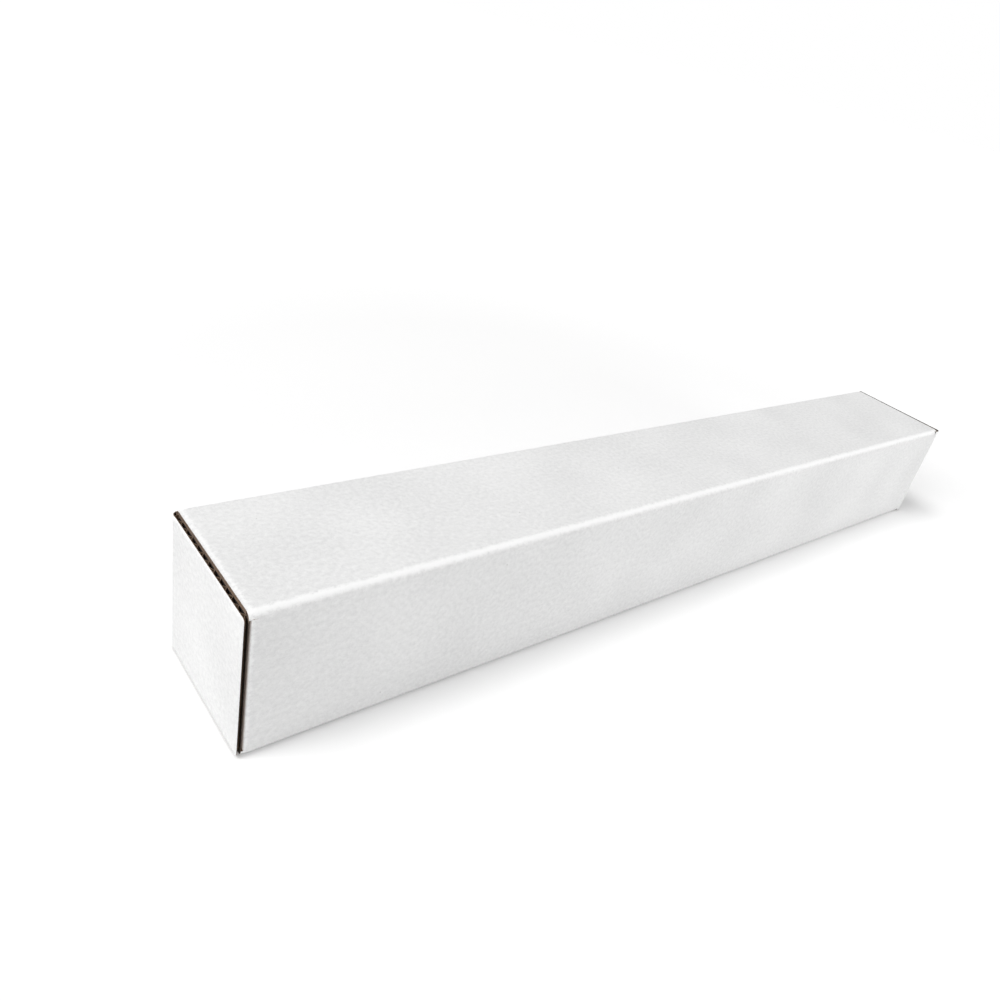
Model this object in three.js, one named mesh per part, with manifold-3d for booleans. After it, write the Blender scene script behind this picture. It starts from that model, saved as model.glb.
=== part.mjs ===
// Square mailing tube, folded and glued from one sheet of white-lined corrugated board.
// Millimetres. X runs along the tube, Y from the front wall to the rear wall, Z up.
// The origin is under the middle of the base. The flutes run round the girth of the tube.
// Both ends are alike, the right one turned half a turn about Z from the left one.

import * as THREE from 'three';
import { mergeVertices } from 'three/addons/utils/BufferGeometryUtils.js';
import Module from 'manifold-3d';

const wasm = await Module();
wasm.setup();

// Room inside the closed tube
const insideLength = 609.6;
const insideWidth = 76.2;
const insideHeight = 76.2;

// Board: two flat liners with a fluted paper between them
const boardThickness = 3;
const linerThickness = 0.4;
const mediumThickness = 0.35;
const flutePitch = 6.35;
const glueLine = 0.08;
const crushedBand = 6;

// Folds
const longFoldRadius = 3.6;
const endFoldRadius = 3.2;
const creaseBead = 1.2;

// Outer end flaps and the dust flaps behind them
const dustFlapLength = 40;
const freeEdgeInset = 0.4;
const flapCornerRadius = 3;
const dustCornerRadius = 7;
const flapTaper = 1;
const flapClearance = 0.6;
const seatGap = 0.3;
const hingeGap = 0.3;

// Glue flap behind the lower rear edge
const glueFlapWidth = 32;
const glueFlapSetback = 14;
const glueFlapTaper = 9;
const seamGap = 0.3;
const seamLift = 0.3;

// Raw ends of the top and base panels
const pressedLength = 3;
const pressedDepth = 0.35;
const edgeGrooveDepth = 1.1;

// Curve steps, and how far a cutter or a joined piece reaches past a face
const arcSteps = 8;
const fluteSteps = 8;
const overlap = 1;

const outerWidth = insideWidth + 2 * boardThickness;
const outerHeight = insideHeight + 2 * boardThickness;
const frontFace = -outerWidth / 2;
const rearFace = outerWidth / 2;
const frontInside = -insideWidth / 2;
const rearInside = insideWidth / 2;
const topInside = boardThickness + insideHeight;
const panelEnd = -insideLength / 2;
const flapOuterFace = panelEnd - boardThickness;
const flapBottom = boardThickness + flapClearance;
const flapTop = topInside - flapClearance;
const mitreShift = (hingeGap / 2) * Math.SQRT2;

// Shape axes: Y and Z with depth along X, Z and X with depth along Y
const alongX = new THREE.Matrix4().makeBasis(
  new THREE.Vector3(0, 1, 0),
  new THREE.Vector3(0, 0, 1),
  new THREE.Vector3(1, 0, 0),
);
const alongY = new THREE.Matrix4().makeBasis(
  new THREE.Vector3(0, 0, 1),
  new THREE.Vector3(1, 0, 0),
  new THREE.Vector3(0, 1, 0),
);
const alongZ = new THREE.Matrix4();

// One solid from one or more outlines, drawn out from start to end along the axis given
function drawOut(shapes, axis, start, end) {
  const geometry = new THREE.ExtrudeGeometry(shapes, {
    depth: end - start,
    bevelEnabled: false,
    curveSegments: arcSteps,
  });
  geometry.translate(0, 0, start);
  geometry.applyMatrix4(axis);
  geometry.deleteAttribute('normal');
  geometry.deleteAttribute('uv');
  const merged = mergeVertices(geometry);
  return new wasm.Manifold(new wasm.Mesh({
    numProp: 3,
    vertProperties: merged.attributes.position.array,
    triVerts: new Uint32Array(merged.index.array),
  }));
}

// The ring of four panels: three round folds, and the seam where the rear wall's raw edge
// stands behind the fold of the glue flap
function ringOutline() {
  const seamFold = rearInside - seamGap;
  const r = longFoldRadius;
  const ring = new THREE.Shape();
  ring.moveTo(frontFace + r, 0);
  ring.lineTo(seamFold - r, 0);
  ring.absarc(seamFold - r, r, r, -Math.PI / 2, 0, false);
  ring.lineTo(rearInside, r);
  ring.lineTo(rearInside, seamLift);
  ring.lineTo(rearFace, seamLift);
  ring.lineTo(rearFace, outerHeight - r);
  ring.absarc(rearFace - r, outerHeight - r, r, 0, Math.PI / 2, false);
  ring.lineTo(frontFace + r, outerHeight);
  ring.absarc(frontFace + r, outerHeight - r, r, Math.PI / 2, Math.PI, false);
  ring.lineTo(frontFace, r);
  ring.absarc(frontFace + r, r, r, Math.PI, 1.5 * Math.PI, false);
  ring.holes.push(ringInside());
  return ring;
}

// The room inside, with the bead that each crease raises along its inner corner
function ringInside() {
  const corners = [
    [frontInside, boardThickness],
    [rearInside, boardThickness],
    [rearInside, topInside],
    [frontInside, topInside],
  ];
  const room = new THREE.Path();
  corners.forEach(([y, z], turn) => {
    const away = turn * Math.PI / 2;
    room.absarc(y, z, creaseBead, away + Math.PI / 2, away, true);
  });
  room.closePath();
  return room;
}

// The glue flap, glued to the inside of the rear wall, with both ends cut back at a slant
function glueFlap() {
  const near = panelEnd + glueFlapSetback;
  const low = boardThickness - overlap;
  const high = boardThickness + glueFlapWidth;
  const flap = new THREE.Shape();
  flap.moveTo(low, near);
  flap.lineTo(high, near + glueFlapTaper);
  flap.lineTo(high, -near - glueFlapTaper);
  flap.lineTo(low, -near);
  flap.closePath();
  return drawOut(flap, alongY, rearInside - boardThickness, rearInside + overlap);
}

// What the die takes from the raw ends of the top and base panels: the outer liner is pressed
// down towards the cut, and the edge is open between the liners
function rawEdgeCuts() {
  const beyond = panelEnd - overlap;
  const slope = pressedDepth * (1 + overlap / pressedLength);
  const cuts = [];
  for (const side of [0, 1]) {
    const place = (depth) => (side ? outerHeight - depth : depth);
    const pressed = new THREE.Shape();
    pressed.moveTo(place(-overlap), beyond);
    pressed.lineTo(place(slope), beyond);
    pressed.lineTo(place(0), panelEnd + pressedLength);
    pressed.lineTo(place(-overlap), panelEnd + pressedLength);
    pressed.closePath();
    cuts.push(drawOut(pressed, alongY, frontFace - overlap, rearFace + overlap));
    const outerLiner = pressedDepth + linerThickness;
    const innerLiner = boardThickness - linerThickness;
    const groove = new THREE.Shape();
    groove.moveTo(place(outerLiner), beyond);
    groove.lineTo(place(innerLiner), beyond);
    groove.lineTo(place(innerLiner), panelEnd + edgeGrooveDepth);
    groove.lineTo(place(outerLiner), panelEnd + edgeGrooveDepth / 3);
    groove.closePath();
    cuts.push(drawOut(groove, alongY, frontInside + creaseBead, rearInside - creaseBead));
  }
  return cuts;
}

// The hollows of the fluted paper, as outlines across the board. They start past the crushed
// band at the fold and run on past the free edge, which cuts the last of them open.
// At distance u along the board the paper lies at half the thickness plus a cosine wave.
function fluteOutlines(outerX, foldY, direction, length) {
  const halfRoom = boardThickness / 2 - linerThickness - mediumThickness / 2;
  const wave = halfRoom + glueLine;
  const halfWidth = (flutePitch / (2 * Math.PI)) * Math.acos(-halfRoom / wave);
  const outlines = [];
  const count = 2 * Math.ceil((length - crushedBand) / flutePitch);
  for (let k = 0; k < count; k += 1) {
    const middle = crushedBand + halfWidth + (k * flutePitch) / 2;
    const points = [];
    for (let step = 0; step <= fluteSteps; step += 1) {
      const u = halfWidth * (2 * step / fluteSteps - 1);
      const paper = wave * Math.cos((2 * Math.PI * u) / flutePitch) - mediumThickness / 2;
      const depth = boardThickness / 2 + paper;
      const x = outerX + (k % 2 ? boardThickness - depth : depth);
      points.push(new THREE.Vector2(x, foldY + direction * (middle + u)));
    }
    outlines.push(new THREE.Shape(points));
  }
  return outlines;
}

// Side view of a flap, from its fold to its free edge: a little narrower at the free edge,
// with round corners there
function flapSideView(foldY, direction, length, radius) {
  const side = new THREE.Shape();
  side.moveTo(-overlap, flapBottom);
  side.lineTo(0, flapBottom);
  side.lineTo(length - radius, flapBottom + flapTaper);
  side.absarc(length - radius, flapBottom + flapTaper + radius, radius, -Math.PI / 2, 0, false);
  side.lineTo(length, flapTop - flapTaper - radius);
  side.absarc(length - radius, flapTop - flapTaper - radius, radius, 0, Math.PI / 2, false);
  side.lineTo(0, flapTop);
  side.lineTo(-overlap, flapTop);
  side.closePath();
  const placed = new THREE.Matrix4().makeBasis(
    new THREE.Vector3(0, direction, 0),
    new THREE.Vector3(0, 0, 1),
    new THREE.Vector3(direction, 0, 0),
  );
  placed.setPosition(0, foldY, 0);
  const reach = insideLength;
  return drawOut(side, placed, -reach, reach);
}

// A flap of fluted board: its section across the flutes drawn up, hollowed and trimmed
function fluted(section, outerX, foldY, direction, length, radius) {
  const board = drawOut(section, alongZ, flapBottom, flapTop);
  const flutes = fluteOutlines(outerX, foldY, direction, length);
  const hollows = drawOut(flutes, alongZ, flapBottom - overlap, flapTop + overlap);
  return board.subtract(hollows).intersect(flapSideView(foldY, direction, length, radius));
}

// Left dust flap with the fold that joins it to the front wall. It lies just inside the raw
// ends of the top and base panels.
const dustOuterFace = panelEnd + seatGap;
const dustInnerFace = dustOuterFace + boardThickness;
const dustFoldEnd = dustInnerFace + creaseBead;

function dustFlap() {
  const r = endFoldRadius;
  const tip = frontFace + dustFlapLength + flutePitch;
  const section = new THREE.Shape();
  section.moveTo(dustFoldEnd + overlap, frontInside);
  section.lineTo(dustFoldEnd, frontInside);
  section.absarc(dustInnerFace, frontInside, creaseBead, 0, Math.PI / 2, false);
  section.lineTo(dustInnerFace, tip);
  section.lineTo(dustOuterFace, tip);
  section.lineTo(dustOuterFace, frontFace + r);
  section.absarc(dustOuterFace + r, frontFace + r, r, Math.PI, 1.5 * Math.PI, false);
  section.lineTo(dustFoldEnd + overlap, frontFace);
  section.closePath();
  return fluted(section, dustOuterFace, frontFace, 1, dustFlapLength, dustCornerRadius);
}

// The end of the rear wall that carries the left outer flap: half of a round fold, cut on the
// mitre so that the flap swings out freely about the corner
function hingeEnd() {
  const r = endFoldRadius;
  const half = Math.asin(hingeGap / 2 / r);
  const end = new THREE.Shape();
  end.moveTo(panelEnd + mitreShift, rearInside);
  end.lineTo(panelEnd + overlap, rearInside);
  end.lineTo(panelEnd + overlap, rearFace);
  end.lineTo(flapOuterFace + r, rearFace);
  end.absarc(flapOuterFace + r, rearFace - r, r, Math.PI / 2, 0.75 * Math.PI - half, false);
  end.closePath();
  return drawOut(end, alongZ, flapBottom, flapTop);
}

// Left outer flap: the other half of that fold, and the panel that closes the end
function endFlap() {
  const r = endFoldRadius;
  const half = Math.asin(hingeGap / 2 / r);
  const length = outerWidth - freeEdgeInset;
  const tip = rearFace - length - flutePitch;
  const section = new THREE.Shape();
  section.moveTo(panelEnd, tip);
  section.lineTo(panelEnd, rearInside - mitreShift);
  section.absarc(flapOuterFace + r, rearFace - r, r, 0.75 * Math.PI + half, Math.PI, false);
  section.lineTo(flapOuterFace, tip);
  section.closePath();
  return fluted(section, flapOuterFace, rearFace, -1, length, flapCornerRadius);
}

// Takes the square end of the front wall away, between the slots, to make room for its fold
function foldNotch() {
  const notch = new THREE.Shape();
  notch.moveTo(panelEnd - overlap, frontFace - overlap);
  notch.lineTo(dustFoldEnd, frontFace - overlap);
  notch.lineTo(dustFoldEnd, frontInside + creaseBead);
  notch.lineTo(panelEnd - overlap, frontInside + creaseBead);
  notch.closePath();
  return drawOut(notch, alongZ, boardThickness, topInside);
}

// The same at the other end: half a turn about Z
function atBothEnds(solid) {
  return [solid, solid.rotate([0, 0, 180])];
}

function sleeve() {
  let body = drawOut(ringOutline(), alongX, panelEnd, -panelEnd);
  const cutters = [foldNotch(), ...rawEdgeCuts()];
  for (const cutter of cutters.flatMap(atBothEnds)) {
    body = body.subtract(cutter);
  }
  const joined = [dustFlap(), hingeEnd()];
  for (const piece of joined.flatMap(atBothEnds)) {
    body = body.add(piece);
  }
  return body.add(glueFlap());
}

// Three.js mesh of a solid, in the white of the outer liner
function meshOf(solid, name, colour) {
  const { vertProperties, triVerts } = solid.getMesh();
  const geometry = new THREE.BufferGeometry();
  geometry.setAttribute('position', new THREE.BufferAttribute(new Float32Array(vertProperties), 3));
  geometry.setIndex(new THREE.BufferAttribute(new Uint32Array(triVerts), 1));
  const flat = geometry.toNonIndexed();
  flat.computeVertexNormals();
  const material = new THREE.MeshStandardMaterial({ color: colour, roughness: 0.85, metalness: 0 });
  const mesh = new THREE.Mesh(flat, material);
  mesh.name = name;
  return mesh;
}

const linerWhite = 0xebebea;
const flapWhite = 0xf1f1f0;

const tube = new THREE.Group();
tube.add(meshOf(sleeve(), 'tube_body', linerWhite));

// The outer flaps hang on the vertical corner where their fold is
const leftFlap = new THREE.Group();
leftFlap.position.set(flapOuterFace, rearFace, 0);
const flapOnCorner = endFlap().translate([-flapOuterFace, -rearFace, 0]);
leftFlap.add(meshOf(flapOnCorner, 'left_end_flap', flapWhite));
tube.add(leftFlap);

const rightFlap = new THREE.Group();
rightFlap.position.set(-flapOuterFace, -rearFace, 0);
rightFlap.rotation.z = Math.PI;
rightFlap.add(meshOf(flapOnCorner, 'right_end_flap', flapWhite));
tube.add(rightFlap);

export default tube;
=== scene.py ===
# The looks of a square mailing tube, folded from one sheet of white-lined corrugated board.
# Metres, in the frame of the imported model: X along the tube, Y to the rear wall, Z up.

import math

import bpy
import numpy as np
from mathutils import Matrix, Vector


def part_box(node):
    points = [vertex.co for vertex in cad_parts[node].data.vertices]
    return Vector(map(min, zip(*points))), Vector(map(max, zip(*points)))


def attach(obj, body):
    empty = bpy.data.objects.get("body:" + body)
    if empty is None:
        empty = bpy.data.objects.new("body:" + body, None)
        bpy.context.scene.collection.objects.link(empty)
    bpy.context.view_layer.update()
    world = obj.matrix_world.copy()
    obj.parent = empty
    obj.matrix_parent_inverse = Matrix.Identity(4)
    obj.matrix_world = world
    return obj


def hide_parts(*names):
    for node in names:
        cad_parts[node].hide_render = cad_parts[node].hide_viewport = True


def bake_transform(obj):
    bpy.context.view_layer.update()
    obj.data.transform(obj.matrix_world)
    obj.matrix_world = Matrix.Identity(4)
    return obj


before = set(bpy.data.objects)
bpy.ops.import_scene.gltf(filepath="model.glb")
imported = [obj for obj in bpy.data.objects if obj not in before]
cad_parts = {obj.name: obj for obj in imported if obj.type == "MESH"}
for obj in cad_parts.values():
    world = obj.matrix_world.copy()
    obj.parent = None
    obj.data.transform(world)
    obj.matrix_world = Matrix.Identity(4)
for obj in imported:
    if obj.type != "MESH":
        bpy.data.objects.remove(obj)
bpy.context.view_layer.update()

mm = 0.001
bodyLow, bodyHigh = (np.array(corner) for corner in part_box("tube_body"))
flapLow, flapHigh = (np.array(corner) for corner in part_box("left_end_flap"))
print("frame loaded:", sorted(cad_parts))

# What the sheet is made of, and where its faces lie
sheet = {
    "thickness": flapHigh[0] - flapLow[0],
    "liner": 0.36 * mm,
    "paper": 0.27 * mm,          # the fluted paper between the liners
    "flute": 6.35 * mm,
    "lean": 0.55,                # how far the cut flutes lean over, 0 is an even wave
    "foldRadius": 3.6 * mm,      # long folds
    "endRadius": 3.2 * mm,       # folds of the end flaps
    "bead": 1.2 * mm,            # ridge that a crease raises inside
    "step": 0.02 * mm,           # width of the strip where the sheet's end steps back
}
thick = sheet["thickness"]
outerWidth = bodyHigh[1] - bodyLow[1]
outerHeight = bodyHigh[2] - bodyLow[2]
rearFace = outerWidth / 2
rearInside = rearFace - thick
topInside = outerHeight - thick
flapOuterX = flapLow[0]
panelEnd = flapOuterX + thick      # raw ends of the top and base panels, at the left


# Camera, solved from the folds of the tube in the photograph
cameraSet = {
    "place": (-0.4180, -0.2838, 0.3063),
    "azimuth": -47.02,
    "elevation": 29.07,
    "roll": 14.86,
    "lens": 29.68,
    "shift": (-0.0459, -0.0047),
}


def makeCamera():
    azimuth = math.radians(cameraSet["azimuth"])
    elevation = math.radians(cameraSet["elevation"])
    roll = math.radians(cameraSet["roll"])
    back = np.array([
        math.sin(azimuth) * math.cos(elevation),
        -math.cos(azimuth) * math.cos(elevation),
        math.sin(elevation),
    ])
    level = np.array([math.cos(azimuth), math.sin(azimuth), 0])
    upright = np.cross(back, level)
    right = level * math.cos(roll) + upright * math.sin(roll)
    up = upright * math.cos(roll) - level * math.sin(roll)
    turn = Matrix(np.column_stack([right, up, back]).tolist())
    data = bpy.data.cameras.new("camera")
    data.lens = cameraSet["lens"]
    data.shift_x, data.shift_y = cameraSet["shift"]
    data.clip_start = 0.01
    data.clip_end = 100
    camera = bpy.data.objects.new("camera", data)
    camera.matrix_world = Matrix.Translation(cameraSet["place"]) @ turn.to_4x4()
    bpy.context.scene.collection.objects.link(camera)
    bpy.context.scene.camera = camera


makeCamera()
print("camera in place")


# The girth of the sleeve as one path across Y and Z: up the rear wall from its raw edge, over
# the top, down the front, back along the base and up the glue flap. Each stretch has points on
# the outer face and matching ones on the inner face.
girthSet = {
    "flatSteps": 10,
    "foldSteps": 18,
    "lengthSteps": 40,
    "flutePoints": 12,           # points along each flute at the raw long edges
    "seamLift": 0.3 * mm,
    "glueFlap": 32 * mm,
    "glueGap": 0.06 * mm,
}


def straight(outerFrom, outerTo, innerFrom, innerTo, steps):
    share = np.linspace(0, 1, steps + 1)[:, None]
    outer = np.array(outerFrom) * (1 - share) + np.array(outerTo) * share
    inner = np.array(innerFrom) * (1 - share) + np.array(innerTo) * share
    return outer, inner


# A fold turns a quarter circle outside, and inside the crease raises a quarter round bead
def fold(centre, radius, corner, startDegrees):
    share = np.linspace(0, 1, girthSet["foldSteps"] + 1)
    outside = np.radians(startDegrees + 90 * share)
    inside = np.radians(startDegrees - 90 - 90 * share)
    outer = np.array(centre) + radius * np.stack([np.cos(outside), np.sin(outside)], -1)
    bead = sheet["bead"] * np.stack([np.cos(inside), np.sin(inside)], -1)
    return outer, np.array(corner) + bead


def girthStretches():
    r, bead = sheet["foldRadius"], sheet["bead"]
    low, high = r, outerHeight - r
    lift = girthSet["seamLift"]
    seam = rearInside - girthSet["glueGap"]
    seamInside = seam - thick
    gluedTop = thick + girthSet["glueFlap"]
    flats = girthSet["flatSteps"]
    return {
        "rearFoot": straight((rearFace, lift), (rearFace, low), (rearInside, lift), (rearInside, low), 2),
        "rearWall": straight(
            (rearFace, low), (rearFace, high),
            (rearInside, low), (rearInside, topInside - bead), flats),
        "rearTopFold": fold((rearFace - r, high), r, (rearInside, topInside), 0),
        "top": straight(
            (rearFace - r, outerHeight), (r - rearFace, outerHeight),
            (rearInside - bead, topInside), (bead - rearInside, topInside), flats),
        "frontTopFold": fold((r - rearFace, high), r, (-rearInside, topInside), 90),
        "frontWall": straight(
            (-rearFace, high), (-rearFace, low),
            (-rearInside, topInside - bead), (-rearInside, thick + bead), flats),
        "frontBaseFold": fold((r - rearFace, r), r, (-rearInside, thick), 180),
        "base": straight(
            (r - rearFace, 0), (seam - r, 0),
            (bead - rearInside, thick), (seamInside - bead, thick), flats),
        "rearBaseFold": fold((seam - r, r), r, (seamInside, thick), 270),
        "glueFlap": straight(
            (seam, r), (seam, gluedTop),
            (seamInside, thick + bead), (seamInside, gluedTop), flats),
    }


# Where each stretch of the girth ends along X, counted in from the panels' raw end
endSet = {
    "hingeFold": 4.2 * mm,       # where an outer flap's fold begins
    "dustFold": 4.0 * mm,        # where a dust flap's fold begins
    "glueSetback": 14 * mm,
    "glueTaper": 9 * mm,
    "pressedLength": 5.0 * mm,   # the die presses the raw end of a panel down over this length
    "pressedDepth": 0.50 * mm,
    "reach": 0.65 * mm,          # the raw ends of the panels reach the pinched flap
    "recess": 0.35 * mm,         # the fluted paper stands back from the cut
    "plugLength": 8 * mm,
}
pressedStretches = ("rearTopFold", "top", "frontTopFold", "frontBaseFold", "base", "rearBaseFold")


# How far in each stretch ends at the left and at the right
def endSetbacks(name, steps):
    if name == "glueFlap":
        slant = endSet["glueSetback"] + endSet["glueTaper"] * np.linspace(0, 1, steps)
        return slant, slant
    hinge, dust, raw = endSet["hingeFold"], endSet["dustFold"], -endSet["reach"]
    ends = {"rearWall": (hinge, dust), "rearFoot": (hinge, raw), "frontWall": (dust, hinge)}
    left, right = ends.get(name, (raw, raw))
    return np.full(steps, left), np.full(steps, right)


class Girth:
    def __init__(self):
        outer, inner, left, right, pressed, names = [], [], [], [], [], []
        for name, (outside, inside) in girthStretches().items():
            steps = len(outside)
            outer.append(outside)
            inner.append(inside)
            leftBack, rightBack = endSetbacks(name, steps)
            left.append(leftBack)
            right.append(rightBack)
            pressed.append(np.full(steps, float(name in pressedStretches)))
            names += [name] * steps
        self.outer = np.concatenate(outer)
        self.inner = np.concatenate(inner)
        self.left = np.concatenate(left)
        self.right = np.concatenate(right)
        self.pressed = np.concatenate(pressed)
        self.names = np.array(names)
        moves = np.linalg.norm(np.diff(self.outer, axis=0), axis=1)
        joins = self.names[1:] != self.names[:-1]
        moves[joins] = sheet["step"]
        self.distance = np.concatenate([[0], np.cumsum(moves)])
        self.spread()

    # Neighbouring stretches meet at one point, so their ends are drawn a hair apart
    def spread(self):
        for face in (self.outer, self.inner):
            for row in np.flatnonzero(self.names[1:] != self.names[:-1]):
                onward = face[row + 2] - face[row + 1]
                face[row + 1] += onward / np.linalg.norm(onward) * sheet["step"]

    def pick(self, *names):
        return np.isin(self.names, names)


girth = Girth()
topFolds = [girth.distance[girth.pick(name)].mean() for name in ("rearTopFold", "frontTopFold")]


# A value in a material's node tree. Sums and products of values add Math nodes.
class Value:
    def __init__(self, tree, socket):
        self.tree = tree
        self.socket = socket

    # Any node: its type, its settings, and the values or links of its sockets
    def node(self, kind, settings, sockets, output=0):
        made = self.tree.nodes.new(kind)
        for name, setting in settings.items():
            if name == "stops":
                self.setStops(made.color_ramp.elements, setting)
            else:
                setattr(made, name, setting)
        for name, value in sockets.items():
            if isinstance(value, Value):
                self.tree.links.new(value.socket, made.inputs[name])
            else:
                made.inputs[name].default_value = value
        return Value(self.tree, made.outputs[output])

    def setStops(self, elements, stops):
        while len(elements) < len(stops):
            elements.new(1.0)
        for element, (place, shade) in zip(elements, stops):
            element.position = place
            element.color = (shade, shade, shade, 1)

    def math(self, operation, *values):
        return self.node("ShaderNodeMath", {"operation": operation}, dict(enumerate(values)))

    def __add__(self, other):
        return self.math("ADD", self, other)

    def __radd__(self, other):
        return self.math("ADD", other, self)

    def __sub__(self, other):
        return self.math("SUBTRACT", self, other)

    def __rsub__(self, other):
        return self.math("SUBTRACT", other, self)

    def __mul__(self, other):
        return self.math("MULTIPLY", self, other)

    def __rmul__(self, other):
        return self.math("MULTIPLY", other, self)

    def ramp(self, *stops):
        return self.node("ShaderNodeValToRGB", {"stops": stops}, {"Fac": self})

    def mix(self, low, high):
        sockets = {0: self, 6: low, 7: high}
        return self.node("ShaderNodeMix", {"data_type": "RGBA"}, sockets, 2)

    # Stretches the point that a texture reads
    def stretched(self, x, y):
        settings = {"vector_type": "POINT"}
        return self.node("ShaderNodeMapping", settings, {"Vector": self, "Scale": (x, y, 1)})

    def noise(self, size, detail=2.0, roughness=0.5):
        sockets = {"Vector": self, "Scale": 1 / size, "Detail": detail, "Roughness": roughness}
        return self.node("ShaderNodeTexNoise", {}, sockets)


# The node tree of a new material or world, with nothing in it yet
def emptyTree(owner):
    owner.use_nodes = True
    owner.node_tree.nodes.clear()
    return owner.node_tree


# A material that reads where a point lies on the flat sheet
def newMaterial(name):
    material = bpy.data.materials.new(name)
    tree = emptyTree(material)
    place = tree.nodes.new("ShaderNodeUVMap")
    place.uv_map = "sheet"
    return material, Value(tree, place.outputs[0])


def finishMaterial(sheetPoint, colour, roughness, height, bumpDepth):
    bump = sheetPoint.node(
        "ShaderNodeBump", {}, {"Height": height, "Strength": 1.0, "Distance": bumpDepth})
    shader = sheetPoint.node("ShaderNodeBsdfPrincipled", {}, {
        "Base Color": colour,
        "Roughness": roughness,
        "Specular IOR Level": 0.35,
        "Normal": bump,
    })
    output = sheetPoint.tree.nodes.new("ShaderNodeOutputMaterial")
    sheetPoint.tree.links.new(shader.socket, output.inputs["Surface"])


# White outer liner: bleached paper over brown, so it is faintly mottled, with a few specks, and a painted
# highlight on the upper folds and beside the raw ends.
# The flutes show through as a washboard that runs round the girth.
whiteSet = {
    "light": (0.915, 0.915, 0.912, 1),
    "dark": (0.765, 0.765, 0.765, 1),
    "litPaper": (0.985, 0.985, 0.982, 1),    # painted highlight: the liner made lighter where the light catches the upper folds and raw ends
    "highlightWidth": 1.9 * mm,
    "foldShift": 0.7 * mm,               # the painted highlight lies on the upper half of a fold
    "foldHighlight": 1.4,
    "endShift": 0.8 * mm,                # and this far in from the raw ends of the panels
    "endHighlight": 0.75,
    "mottleInHighlight": 1.8,                   # how ragged the mottle and the grain make the painted highlight
    "grainInHighlight": 1.0,
    "speck": (0.34, 0.33, 0.31, 1),
    "speckSpacing": 16 * mm,
    "mottle": 2.4 * mm,
    "grain": 0.7 * mm,
    "cloud": 55 * mm,
    "washboard": 0.22,
    "relief": 0.09 * mm,
}


# Mask of the painted highlight: 1 on the upper folds and beside the raw ends, falling to 0 at a ragged
# distance from them.
# The sheet is measured along the tube and round the girth.
def highlightOf(point, mottle, grain):
    along = point.node("ShaderNodeSeparateXYZ", {}, {"Vector": point}, "X")
    around = point.node("ShaderNodeSeparateXYZ", {}, {"Vector": point}, "Y")
    fromEnd = along.math("ABSOLUTE", along) + (panelEnd + whiteSet["endShift"])
    lines = [(around - (middle - whiteSet["foldShift"]), whiteSet["foldHighlight"]) for middle in topFolds]
    lines.append((fromEnd, whiteSet["endHighlight"]))
    highlight = None
    for offset, peak in lines:
        away = offset.math("ABSOLUTE", offset) * (1 / whiteSet["highlightWidth"])
        near = peak - away + (mottle - 0.5) * whiteSet["mottleInHighlight"]
        near = near + (grain - 0.5) * whiteSet["grainInHighlight"]
        highlight = near if highlight is None else highlight.math("MAXIMUM", highlight, near)
    return highlight.ramp((0.0, 0.0), (1.0, 1.0))


def whiteLiner():
    material, point = newMaterial("whiteLiner")
    cloud = point.noise(whiteSet["cloud"], 1.0)
    mottle = point.noise(whiteSet["mottle"], 3.0, 0.6)
    grain = point.noise(whiteSet["grain"], 2.0, 0.55)
    shade = (cloud * 0.25 + mottle * 0.5 + grain * 0.25).ramp((0.36, 0.0), (0.62, 1.0))
    paper = shade.mix(whiteSet["dark"], whiteSet["light"])
    spots = point.node(
        "ShaderNodeTexVoronoi", {"feature": "F1"},
        {"Vector": point, "Scale": 1 / whiteSet["speckSpacing"], "Randomness": 1.0})
    specks = spots.ramp((0.012, 1.0), (0.022, 0.0))
    # painted highlight: the liner turns lighter along the upper folds and beside the raw ends
    colour = highlightOf(point, mottle, grain).mix(paper, whiteSet["litPaper"])
    colour = specks.mix(colour, whiteSet["speck"])
    # The texture's sine turns 20 radians per unit at scale 1
    ridges = point.node(
        "ShaderNodeTexWave", {"wave_type": "BANDS", "bands_direction": "X"},
        {"Vector": point, "Scale": 2 * math.pi / (20 * sheet["flute"]), "Distortion": 0.0})
    height = ridges * whiteSet["washboard"] + mottle * 0.5 + grain * 0.35
    finishMaterial(point, colour, 0.72 + mottle * 0.16, height, whiteSet["relief"])
    return material


# Brown kraft paper: fibres drawn out along the tube, darker and lighter streaks
kraftSet = {
    "dark": (0.225, 0.145, 0.088, 1),
    "light": (0.375, 0.255, 0.165, 1),
    "fibre": 0.7 * mm,
    "streak": 5 * mm,
    "relief": 0.07 * mm,
}


def kraftLiner():
    material, point = newMaterial("kraftLiner")
    fibres = point.stretched(0.18, 1.0).noise(kraftSet["fibre"], 4.0, 0.65)
    streaks = point.stretched(0.08, 1.0).noise(kraftSet["streak"], 3.0)
    blotch = point.noise(kraftSet["streak"] * 4, 2.0)
    shade = (fibres * 0.5 + streaks * 0.3 + blotch * 0.2).ramp((0.34, 0.0), (0.66, 1.0))
    colour = shade.mix(kraftSet["dark"], kraftSet["light"])
    height = fibres + streaks * 0.4
    finishMaterial(point, colour, 0.8 + fibres * 0.12, height, kraftSet["relief"])
    return material


# Cut paper edges: torn fibre in two copies. The dark one is painted shade, for faces deep between the
# liners, the flaps' free edges and the right end's edges. The lighter, lit one is for the edges the light
# falls on.
# They read the place in space, because a cut has no width on the flat sheet.
cutSet = {
    # the dark copy: painted shade
    "dark": (0.018, 0.014, 0.012, 1),
    "light": (0.085, 0.066, 0.054, 1),
    # the lighter copy, for cut paper where the light falls
    "litCutDark": (0.130, 0.092, 0.068, 1),
    "litCutLight": (0.330, 0.245, 0.190, 1),
    "fibre": 0.35 * mm,
    "relief": 0.12 * mm,
}


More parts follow.
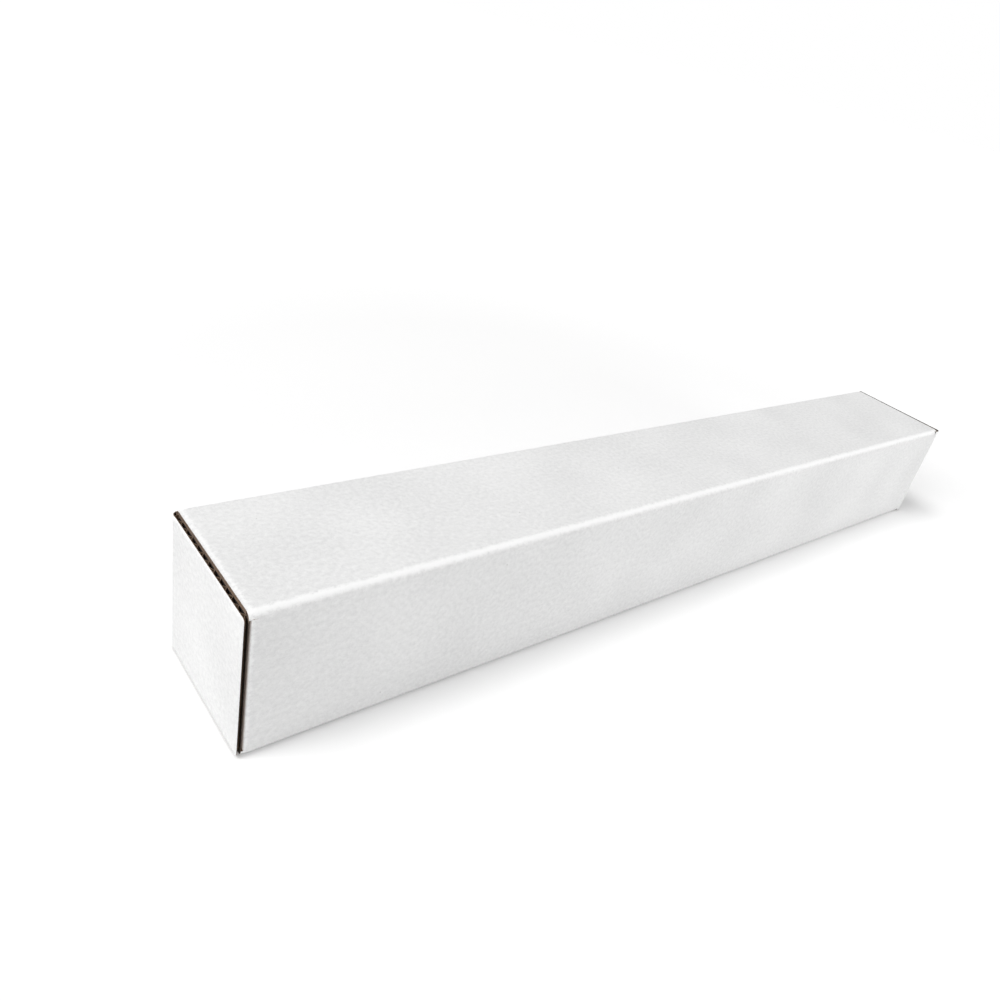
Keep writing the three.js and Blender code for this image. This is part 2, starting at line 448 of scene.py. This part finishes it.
def cutPaper(name, dark, light):
    material = bpy.data.materials.new(name)
    tree = emptyTree(material)
    place = tree.nodes.new("ShaderNodeTexCoord")
    point = Value(tree, place.outputs["Object"])
    fibres = point.noise(cutSet["fibre"], 4.0, 0.7)
    patches = point.noise(cutSet["fibre"] * 8, 2.0)
    shade = (fibres * 0.6 + patches * 0.4).ramp((0.32, 0.0), (0.6, 1.0))
    finishMaterial(point, shade.mix(dark, light), 0.88, fibres, cutSet["relief"])
    return material


def shadedCutEdge():
    return cutPaper("shadedCutEdge", cutSet["dark"], cutSet["light"])


def litCutEdge():
    return cutPaper("litCutEdge", cutSet["litCutDark"], cutSet["litCutLight"])


# The cut edge comes as a dark copy, painted shade, and a lighter, lit copy
materials = [whiteLiner(), kraftLiner(), shadedCutEdge(), litCutEdge()]
white, kraft, shadedCut, litPaper = range(4)
print("materials made:", [material.name for material in materials])


# Collects closed slabs of sheet, each given by two grids of points, and makes one mesh
class Pile:
    def __init__(self):
        self.points = []
        self.faces = []
        self.finishes = []
        self.sheetPlaces = []
        self.count = 0

    # front and back are grids of points (rows, columns, 3) that face each other, and place
    # is where each of them lies on the flat sheet. The four rims close the slab. The rim along
    # the last row, which is a flap's free edge, always gets the dark cut paper, painted shade.
    def addSlab(self, front, back, place, frontFinish, backFinish, rimFinish=shadedCut):
        rows, columns = front.shape[:2]
        index = np.arange(rows * columns).reshape(rows, columns) + self.count
        behind = index + rows * columns
        across = np.cross(front[1:, :-1] - front[:-1, :-1], front[:-1, 1:] - front[:-1, :-1])
        outward = front[:-1, :-1] - back[:-1, :-1]
        turned = (across * outward).sum() < 0
        quads = [
            self.gridQuads(index), self.gridQuads(behind)[:, ::-1],
            self.rimQuads(index[:, 0], behind[:, 0])[:, ::-1],
            self.rimQuads(index[:, -1], behind[:, -1]),
            self.rimQuads(index[0], behind[0]),
            self.rimQuads(index[-1], behind[-1])[:, ::-1],
        ]
        # the last rim always gets the dark cut paper, painted shade
        finishes = [frontFinish, backFinish] + [rimFinish] * 3 + [shadedCut]
        for group, finish in zip(quads, finishes):
            self.faces.append(group[:, ::-1] if turned else group)
            self.finishes.append(np.full(len(group), finish))
        self.points += [front.reshape(-1, 3), back.reshape(-1, 3)]
        self.sheetPlaces += [place.reshape(-1, 2)] * 2
        self.count += 2 * rows * columns

    def gridQuads(self, index):
        corners = [index[:-1, :-1], index[1:, :-1], index[1:, 1:], index[:-1, 1:]]
        return np.stack(corners, -1).reshape(-1, 4)

    def rimQuads(self, near, far):
        return np.stack([near[:-1], near[1:], far[1:], far[:-1]], -1)

    def makePiece(self, name, body=None):
        points = np.concatenate(self.points).astype(np.float32)
        faces = np.concatenate(self.faces).astype(np.int32)
        places = np.concatenate(self.sheetPlaces)
        mesh = bpy.data.meshes.new(name)
        mesh.vertices.add(len(points))
        mesh.vertices.foreach_set("co", points.ravel())
        mesh.loops.add(faces.size)
        mesh.loops.foreach_set("vertex_index", faces.ravel())
        mesh.polygons.add(len(faces))
        mesh.polygons.foreach_set("loop_start", np.arange(0, faces.size, 4, dtype=np.int32))
        mesh.polygons.foreach_set(
            "material_index", np.concatenate(self.finishes).astype(np.int32))
        mesh.update(calc_edges=True)
        layer = mesh.uv_layers.new(name="sheet")
        layer.data.foreach_set("uv", places[faces.ravel()].astype(np.float32).ravel())
        mesh.shade_smooth()
        mesh.set_sharp_from_angle(angle=math.radians(38))
        for material in materials:
            mesh.materials.append(material)
        piece = bpy.data.objects.new(name, mesh)
        bpy.context.scene.collection.objects.link(piece)
        if body:
            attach(piece, body)
        print("piece", name, len(faces), "faces")
        return piece


# A point of the sleeve: row of the girth, place along X, and depth from 0 at the outer face to
# 1 at the inner face. Near a raw end the outer face sinks by a share that falls with the square
# of the distance from the cut.
def sleevePoints(rows, x, depth):
    fromEnd = endSet["reach"] - panelEnd - np.abs(x)
    near = np.clip(1 - fromEnd / endSet["pressedLength"], 0, 1)
    sunk = endSet["pressedDepth"] / thick * near ** 2 * girth.pressed[rows][:, None]
    inward = sunk + depth * (1 - sunk)
    outer = girth.outer[rows][:, None, :]
    inner = girth.inner[rows][:, None, :]
    across = outer * (1 - inward[..., None]) + inner * inward[..., None]
    return np.concatenate([x[..., None], across], -1)


def sheetPlace(x, distance):
    return np.stack([x, np.broadcast_to(distance, x.shape)], -1)


# Places along X for each row of the girth: close together near both ends
def alongTube(rows):
    near = np.array([0, 0.25, 0.5, 1, 1.5, 2, 3, 4, 5, 6.5, 8]) * mm
    left = panelEnd + girth.left[rows][:, None] + near
    right = -panelEnd - girth.right[rows][:, None] - near[::-1]
    share = np.linspace(0, 1, girthSet["lengthSteps"])[None, 1:-1]
    between = left[:, -1:] * (1 - share) + right[:, :1] * share
    return np.concatenate([left, between, right], 1)


def makeSleeve():
    pile = Pile()
    every = np.arange(len(girth.names))
    x = alongTube(every)
    place = sheetPlace(x, girth.distance[:, None])
    liner = sheet["liner"] / thick
    outerFace = sleevePoints(every, x, 0.0)
    innerFace = sleevePoints(every, x, 1.0)
    pile.addSlab(outerFace, sleevePoints(every, x, liner), place, white, kraft, litPaper)
    pile.addSlab(innerFace, sleevePoints(every, x, 1 - liner), place, kraft, kraft, litPaper)
    addEdgePlugs(pile, liner)
    addSeamFlutes(pile)
    piece = pile.makePiece("sleeve", "tube")
    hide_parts("tube_body")


# Crushed fluted paper between the liners at the raw ends, standing back unevenly from the cut
def addEdgePlugs(pile, liner):
    random = np.random.default_rng(11)
    groups = [("rearTopFold", "top", "frontTopFold"), ("frontBaseFold", "base")]
    for names in groups:
        rows = np.flatnonzero(girth.pick(*names))
        for end in (-1, 1):
            ragged = endSet["recess"] * (0.4 + 1.2 * random.random(len(rows)))
            inset = np.stack([ragged - endSet["reach"], np.full(len(rows), endSet["plugLength"])], 1)
            x = end * (-panelEnd - inset)
            place = sheetPlace(x, girth.distance[rows][:, None])
            front = sleevePoints(rows, x, liner)
            back = sleevePoints(rows, x, 1 - liner)
            pile.addSlab(front, back, place, litPaper, litPaper, litPaper)


# Height of the fluted paper's middle across the board, as a share of the way from the outer to
# the inner face: a cosine wave that leans over, as flutes do under the knife
def fluteWave(distance, phase=0.0):
    turn = 2 * np.pi * distance / sheet["flute"] + phase
    reach = 0.5 - (sheet["liner"] + sheet["paper"] / 2 - 0.05 * mm) / thick
    return 0.5 + reach * np.cos(turn + sheet["lean"] * np.sin(turn))


# The fluted paper where the sleeve shows its raw long edges: under the rear wall and along the
# top of the glue flap
def addSeamFlutes(pile):
    half = sheet["paper"] / thick / 2
    for name, backwards in (("rearFoot", False), ("glueFlap", True)):
        rows = np.flatnonzero(girth.pick(name))
        rows = rows[-3:] if backwards else rows
        length = -2 * panelEnd - 2 * (endSet["glueSetback"] + endSet["glueTaper"])
        length = length if backwards else -2 * panelEnd - 1 * mm
        points = int(length / sheet["flute"] * girthSet["flutePoints"])
        x = np.linspace(-length / 2, length / 2, points)
        x = np.broadcast_to(x, (len(rows), len(x)))
        middle = fluteWave(x)
        place = sheetPlace(x, girth.distance[rows][:, None])
        front = sleevePoints(rows, x, middle - half)
        back = sleevePoints(rows, x, middle + half)
        pile.addSlab(front, back, place, kraft, kraft)


makeSleeve()


# End flaps. Each is a path in the XY plane, drawn up between a lower and an upper edge. They
# are worked out for the left end and turned half round for the right one.
flapSet = {
    "clearance": 0.6 * mm,
    "taper": 0.3 * mm,
    "corner": 1.8 * mm,
    "dustCorner": 7 * mm,
    "dustLength": 40 * mm,
    "freeEdgeInset": 0.4 * mm,
    "flutePoints": 14,           # points along each flute
    "seatGap": 0.15 * mm,        # between a dust flap and the outer flap
    "dustRadius": 1.2 * mm,      # fold of a dust flap, creased harder
    "crushed": 5.5 * mm,         # no open flutes this near a fold
    "pinchOuter": 0.35 * mm,     # the die pinches the cut edges from both faces
    "pinchInner": 0.60 * mm,
    "pinchFree": 0.15 * mm,      # a little more at the free edge
    "pinchLength": 2.6 * mm,
    "overFold": 0.25 * mm,       # a dust flap's fold runs this far onto the long folds
    "leftLap": 1.4 * mm,         # an outer flap laps this far over the top panel's cut end
    "rightLap": 3.2 * mm,
    "lowLap": 2.5 * mm,          # and this far over the base panel's
    "firstFlute": 2.2 * mm,      # where the first crest lies, from the fold's corner
    "paperBack": 0.20 * mm,      # the fluted paper stands back from the liners' edges
    "fillingBack": 0.25 * mm,
    "ragged": 0.3 * mm,
    "edgeRows": np.array([0, 0.3, 0.6, 1.0, 1.5, 2.1, 2.8]) * mm,
    "middleRows": 12,
}
flapLowZ = thick + flapSet["clearance"]
flapHighZ = topInside - flapSet["clearance"]


# Lower and upper edge of a flap at a distance from its fold: straight tapers that end in
# quarter circles at the free corners, each moved out by its lap
def flapEdges(distance, length, radius, lap=0.0, lowLap=0.0):
    share = np.clip(distance / (length - radius), 0, 1)
    intoCorner = np.clip(distance - (length - radius), 0, radius)
    rounding = radius - np.sqrt(radius ** 2 - intoCorner ** 2)
    inset = flapSet["taper"] * share + rounding
    return flapLowZ + inset - lowLap, flapHighZ - inset + lap


# Points along the flat of a flap, close together at the free corner
def flapSteps(start, length, radius):
    flat = np.arange(start, length - radius, sheet["flute"] / flapSet["flutePoints"])
    angle = np.linspace(0, math.pi / 2, 14)
    corner = length - radius + radius * np.sin(angle)
    return np.concatenate([flat, corner])


# One layer of a flap between two depths (0 outer face, 1 inner face). outer and inner are the
# path's points in X and Y, freeEnd is its distance from the fold to the free edge, and turned
# is -1 for the right end. Near a cut edge both faces sink by the pinch times the square of the
# share of the pinch length that is left. The pinch fades out toward the fold.
def flapLayer(pile, path, depths, edges, finishes, turned, placeOf, ragged=0.0, seed=0):
    outer, inner, distance, freeEnd = path
    low, high = edges
    random = np.random.default_rng(seed)
    lowEdge = (low + ragged * random.random(len(low)))[:, None]
    highEdge = (high - ragged * random.random(len(high)))[:, None]
    near = flapSet["edgeRows"]
    share = np.linspace(0, 1, flapSet["middleRows"] + 2)[None, 1:-1]
    between = (lowEdge + near[-1]) * (1 - share) + (highEdge - near[-1]) * share
    z = np.concatenate([lowEdge + near, between, highEdge - near[::-1]], 1)
    toEdge = np.minimum(z - low[:, None], high[:, None] - z)
    toEdge = np.minimum(toEdge, (freeEnd - distance)[:, None])
    pinched = np.clip(1 - toEdge / flapSet["pinchLength"], 0, 1) ** 2
    pinched *= np.clip(distance / (2 * sheet["endRadius"]), 0, 1)[:, None]
    outerPinch = flapSet["pinchOuter"] / thick * pinched
    atFreeEdge = np.clip(1 - (freeEnd - distance)[:, None] / flapSet["pinchLength"], 0, 1) ** 2
    innerPinch = (flapSet["pinchInner"] * pinched + flapSet["pinchFree"] * atFreeEdge) / thick
    grids = []
    for depth in depths:
        depth = np.broadcast_to(depth, len(distance))[:, None]
        depth = (outerPinch + depth * (1 - outerPinch - innerPinch))[..., None]
        flat = outer[:, None, :] * (1 - depth) + inner[:, None, :] * depth
        grids.append(np.concatenate([turned * flat, z[..., None]], -1))
    pile.addSlab(*grids, placeOf(distance, z), *finishes)


# Where a point of a flap lies on the flat sheet: on past the end of its wall
def placeOnWall(wall, turned):
    row = np.flatnonzero(girth.pick(wall))[0]
    start, startZ = girth.distance[row], girth.outer[row, 1]
    slope = 1 if wall == "rearWall" else -1

    def place(distance, z):
        along = turned * (panelEnd - distance)
        return np.stack([np.broadcast_to(along[:, None], z.shape), start + slope * (z - startZ)], -1)

    return place


# Both liners, the fluted paper between them, and crushed paper beside the fold. The cut edges
# of the left end get the lit copy of cut paper, those of the right end the dark copy, painted shade.
def addFlapBoard(pile, path, edges, fluteFrom, turned, placeOf, seed):
    liner = sheet["liner"] / thick
    outer, inner, distance, freeEnd = path
    low, high = edges
    # painted light and shade: lit cut edges at the left end, shaded ones at the right
    rim = litPaper if turned > 0 else shadedCut
    # the liners' faces inside the board get the dark cut paper, painted shade
    flapLayer(pile, path, (0.0, liner), edges, (white, shadedCut, rim), turned, placeOf)
    flapLayer(pile, path, (1.0, 1 - liner), edges, (kraft, shadedCut, rim), turned, placeOf)
    half = sheet["paper"] / thick / 2
    fluted = distance >= fluteFrom
    middle = fluteWave(distance[fluted] - flapSet["firstFlute"])
    inside = (outer[fluted], inner[fluted], distance[fluted], freeEnd)
    back = flapSet["paperBack"]
    faces = (middle - half, middle + half)
    flapLayer(pile, inside, faces, (low[fluted] + back, high[fluted] - back),
              (kraft, kraft, rim), turned, placeOf, flapSet["ragged"], seed)
    crushed = distance <= fluteFrom + sheet["paper"]
    if not crushed.any():
        return
    filling = (outer[crushed], inner[crushed], distance[crushed], freeEnd)
    back = flapSet["fillingBack"]
    # the crushed paper gets the dark cut paper, painted shade
    flapLayer(pile, filling, (liner, 1 - liner), (low[crushed] + back, high[crushed] - back),
              (shadedCut, shadedCut), turned, placeOf, flapSet["ragged"], seed + 1)


# Outer flap: flat board from the end of its fold to the free edge
def makeEndFlap(name, body, node, wall, turned, lap, seed):
    length = outerWidth - flapSet["freeEdgeInset"]
    start = thick + endSet["hingeFold"]
    steps = flapSteps(start, length, flapSet["corner"])
    y = rearFace - steps
    outer = np.stack([np.full(len(y), flapOuterX), y], -1)
    inner = np.stack([np.full(len(y), panelEnd), y], -1)
    edges = flapEdges(steps, length, flapSet["corner"], lap, flapSet["lowLap"])
    pile = Pile()
    addFlapBoard(pile, (outer, inner, steps, length), edges, 0, turned,
                 placeOnWall(wall, turned), seed)
    piece = pile.makePiece(name, body)
    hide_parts(node)


# Dust flap with its fold: along the wall, round the corner and across the end
def makeDustFlap(name, wall, turned, seed):
    r, bead = flapSet["dustRadius"], sheet["bead"]
    faceX = panelEnd + flapSet["seatGap"]
    backX = faceX + thick
    length, radius = flapSet["dustLength"], flapSet["dustCorner"]
    wallEnd = panelEnd + endSet["dustFold"]
    outerFold, innerFold = fold((faceX + r, r - rearFace), r, (backX, -rearInside), 180)
    outerFold, innerFold = outerFold[::-1], innerFold[::-1]
    steps = flapSteps(r + bead, length, radius)
    y = steps - rearFace
    outer = np.concatenate([
        [(wallEnd, -rearFace)], outerFold, np.stack([np.full(len(y), faceX), y], -1)])
    inner = np.concatenate([
        [(wallEnd, -rearInside)], innerFold, np.stack([np.full(len(y), backX), y], -1)])
    distance = np.concatenate([
        [panelEnd - wallEnd], np.linspace(-bead, r, len(outerFold)), steps])
    edges = flapEdges(np.maximum(distance, 0), length, radius)
    meets = np.clip(1 - distance / r, 0, 1) * (flapLowZ - sheet["foldRadius"] + flapSet["overFold"])
    edges = (edges[0] - meets, edges[1] + meets)
    pile = Pile()
    addFlapBoard(pile, (outer, inner, distance, length), edges, flapSet["crushed"] + r, turned,
                 placeOnWall(wall, turned), seed)
    pile.makePiece(name, "tube")


# The fold that an outer flap hangs on: a quarter round between the wall and the flap.
def makeHingeFold(name, wall, turned, lap, seed):
    r, start = sheet["endRadius"], endSet["hingeFold"]
    outerFold, innerFold = fold((flapOuterX + r, rearFace - r), r, (panelEnd, rearInside), 90)
    innerFold = np.broadcast_to([panelEnd, rearInside], innerFold.shape)
    lead = np.linspace(1, 0, 13)[:-1, None]
    wallOuter = np.array([panelEnd + start, rearFace]) * lead + outerFold[0] * (1 - lead)
    wallInner = np.array([panelEnd + start, rearInside]) * lead + innerFold[0] * (1 - lead)
    flapOuter = np.array([flapOuterX, rearInside - start]) * lead + outerFold[-1] * (1 - lead)
    flapInner = np.array([panelEnd, rearInside - start]) * lead + innerFold[-1] * (1 - lead)
    outer = np.concatenate([wallOuter, outerFold, flapOuter[::-1]])
    inner = np.concatenate([wallInner, innerFold, flapInner[::-1]])
    count = len(outer)
    distance = np.linspace(-start, thick + start, count)
    edges = (np.full(count, flapLowZ - flapSet["lowLap"]), np.full(count, flapHighZ + lap))
    pile = Pile()
    addFlapBoard(pile, (outer, inner, distance, outerWidth), edges, -thick - start, turned,
                 placeOnWall(wall, turned), seed)
    piece = pile.makePiece(name)
    turned * panelEnd
    turned * (rearInside - start)
    turned * (panelEnd + start)
    turned * rearInside
    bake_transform(piece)


leftLap, rightLap = flapSet["leftLap"], flapSet["rightLap"]
makeEndFlap("leftFlap", "left_flap", "left_end_flap", "rearWall", 1, leftLap, 3)
makeEndFlap("rightFlap", "right_flap", "right_end_flap", "frontWall", -1, rightLap, 5)
makeDustFlap("leftDustFlap", "frontWall", 1, 7)
makeDustFlap("rightDustFlap", "rearWall", -1, 9)
makeHingeFold("leftHingeFold", "rearWall", 1, leftLap, 13)
makeHingeFold("rightHingeFold", "frontWall", -1, rightLap, 15)


# Floor and light. Only the camera sees the floor and the sky as white; the tube is lit by the
# plain levels. One sun stands high, one low on the left, and two panels shine from nearby.
stageSet = {
    "floorSize": 60.0,
    "floorShade": 0.86,
    "floorNear": 1.07,           # the floor as the camera sees it, beside the tube
    "floorFar": 1.24,            # and where the panels no longer reach
    "skyStrength": 0.46,
    "highSun": {"strength": 1.08, "angle": 22.0, "from": (-0.46, 0.16, 0.86)},
    "lowSun": {"strength": 0.62, "angle": 26.0, "from": (-0.80, 0.0, 0.55)},
    "leftPanel": {"power": 0.68, "size": 0.4, "place": (-0.75, 0.10, 0.60), "aim": (-0.25, 0, 0.08)},
    "fillPanel": {"power": 4.1, "size": 0.6, "place": (0.45, -1.00, 0.16), "aim": (0.10, 0, 0.04)},
}


def makeFloor():
    half = stageSet["floorSize"] / 2
    mesh = bpy.data.meshes.new("floor")
    corners = [(-half, -half, 0), (half, -half, 0), (half, half, 0), (-half, half, 0)]
    mesh.from_pydata(corners, [], [(0, 1, 2, 3)])
    floor = bpy.data.objects.new("floor", mesh)
    bpy.context.scene.collection.objects.link(floor)
    material = bpy.data.materials.new("floorPaper")
    tree = emptyTree(material)
    rays = tree.nodes.new("ShaderNodeLightPath")
    seen = Value(tree, rays.outputs["Is Camera Ray"])
    names = ("floorShade", "floorNear", "floorFar")
    plain, near, far = [(stageSet[name],) * 3 + (1,) for name in names]
    place = tree.nodes.new("ShaderNodeTexCoord")
    point = Value(tree, place.outputs["Object"])
    away = point.node("ShaderNodeVectorMath", {"operation": "LENGTH"}, {0: point}, "Value")
    backdrop = (away * 0.5).ramp((0.22, 0.0), (0.5, 1.0)).mix(near, far)
    paper = seen.node("ShaderNodeBsdfDiffuse", {}, {"Color": seen.mix(plain, backdrop)})
    output = tree.nodes.new("ShaderNodeOutputMaterial")
    tree.links.new(paper.socket, output.inputs["Surface"])
    mesh.materials.append(material)


def makeSky():
    world = bpy.data.worlds.new("sky")
    tree = emptyTree(world)
    rays = tree.nodes.new("ShaderNodeLightPath")
    seen = Value(tree, rays.outputs["Is Camera Ray"])
    strength = stageSet["skyStrength"] + seen * (1.0 - stageSet["skyStrength"])
    sky = seen.node("ShaderNodeBackground", {}, {"Color": (1, 1, 1, 1), "Strength": strength})
    output = tree.nodes.new("ShaderNodeOutputWorld")
    tree.links.new(sky.socket, output.inputs["Surface"])
    bpy.context.scene.world = world


# Turns a lamp so that it shines from the direction given
def shineFrom(lamp, direction, place):
    back = np.array(direction) / np.linalg.norm(direction)
    level = np.cross([0, 0, 1], back)
    level /= np.linalg.norm(level)
    turn = Matrix(np.column_stack([level, np.cross(back, level), back]).tolist())
    lamp.matrix_world = Matrix.Translation(place) @ turn.to_4x4()
    bpy.context.scene.collection.objects.link(lamp)


def makeSun(name):
    settings = stageSet[name]
    data = bpy.data.lights.new(name, "SUN")
    data.energy = settings["strength"]
    data.angle = math.radians(settings["angle"])
    shineFrom(bpy.data.objects.new(name, data), settings["from"], (0, 0, 1))


def makePanel(name):
    settings = stageSet[name]
    data = bpy.data.lights.new(name, "AREA")
    data.energy = settings["power"]
    data.size = settings["size"]
    away = np.array(settings["place"]) - np.array(settings["aim"])
    shineFrom(bpy.data.objects.new(name, data), away, settings["place"])


makeFloor()
makeSky()
makeSun("highSun")
makeSun("lowSun")
makePanel("leftPanel")
makePanel("fillPanel")
bpy.context.scene.view_settings.view_transform = "Standard"
print("stage lit")
